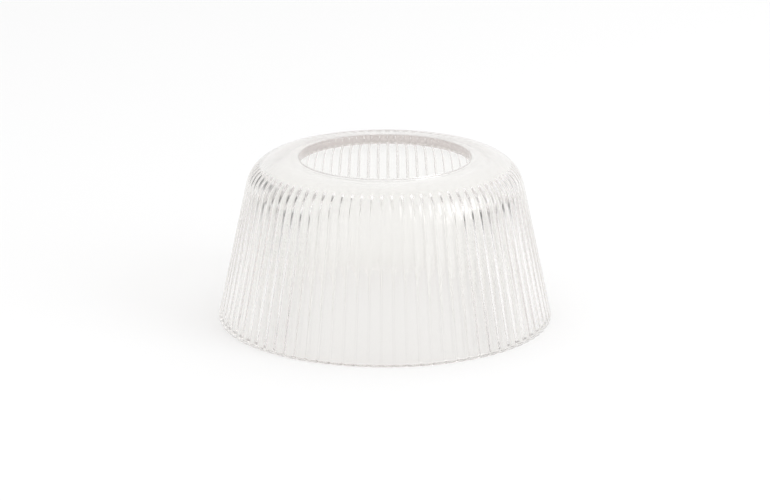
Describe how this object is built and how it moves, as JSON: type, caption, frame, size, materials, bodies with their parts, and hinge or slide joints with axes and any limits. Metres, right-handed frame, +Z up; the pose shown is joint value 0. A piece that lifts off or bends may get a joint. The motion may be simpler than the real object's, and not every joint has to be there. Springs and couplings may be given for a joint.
{
  "type": "reeded glass lamp shade",
  "caption": "Clear pressed-glass lamp shade: an open cone with convex vertical reeds, a rounded shoulder and a flat smooth ring round a large hole in the top.",
  "frame": {"origin": "on the surface the shade stands on, at the centre of its foot", "axes": "+Z up along the shade's axis, from the foot to the ring; +X and +Y are alike"},
  "size_m": [0.1758, 0.1758, 0.0863],
  "materials": {
    "clear_glass": "fire-polished, clear"
  },
  "bodies": {
    "root": {"glass_shade": "clear_glass"}
  },
  "joints": []
}
